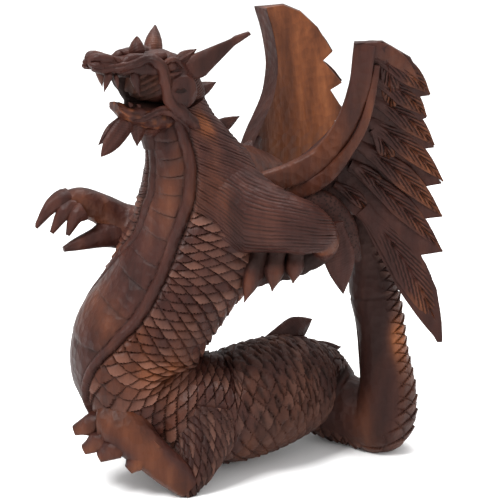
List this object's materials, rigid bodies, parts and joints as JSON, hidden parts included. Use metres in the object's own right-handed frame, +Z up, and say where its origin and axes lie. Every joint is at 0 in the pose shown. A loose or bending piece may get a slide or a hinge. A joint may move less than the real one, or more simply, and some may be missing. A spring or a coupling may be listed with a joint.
{
  "type": "wooden dragon statue",
  "caption": "Carved wooden dragon sitting up and roaring, with feathered wings, a scaly body and an upturned tail, standing on its own heels and tail.",
  "frame": {"origin": "middle of the base of the statue, on the surface it stands on", "axes": "+X is right and +Y is away as the statue's front is seen, +Z is up"},
  "size_m": [0.361, 0.2164, 0.4063],
  "materials": {
    "carved_wood": "dark reddish brown stained hardwood with orange brown heartwood, hand carved, soft waxed sheen"
  },
  "bodies": {
    "root": {"dragon": "carved_wood"}
  },
  "joints": []
}
